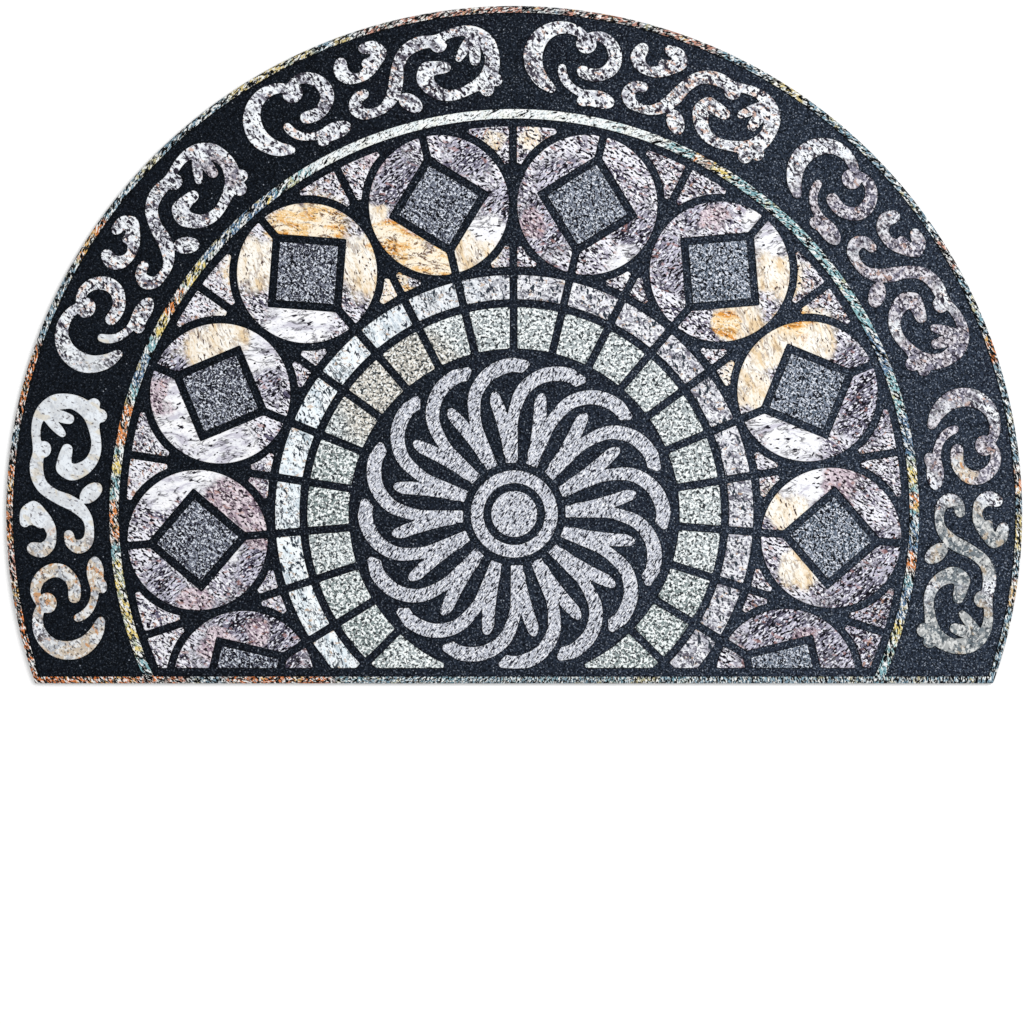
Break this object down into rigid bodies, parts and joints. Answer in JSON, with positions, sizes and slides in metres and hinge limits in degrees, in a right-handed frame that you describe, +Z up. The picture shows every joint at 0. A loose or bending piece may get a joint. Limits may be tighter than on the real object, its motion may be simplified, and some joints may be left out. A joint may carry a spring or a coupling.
{
  "type": "half-round doormat",
  "caption": "Flat half-round doormat with a straight front edge: raised rosette, rings of tiles, roundels and scrolls stand on a dark flocked ground inside a raised rim.",
  "frame": {"origin": "centre of the mat's bounding box, on the floor under it", "axes": "+X to the right along the straight edge, +Y away from the straight edge towards the top of the arch, +Z up out of the patterned face"},
  "size_m": [0.914, 0.6094, 0.007],
  "materials": {
    "flocked_rubber": "short black flock, with stone-like colours printed on the raised islands"
  },
  "bodies": {
    "root": {"mat": "flocked_rubber"}
  },
  "joints": []
}
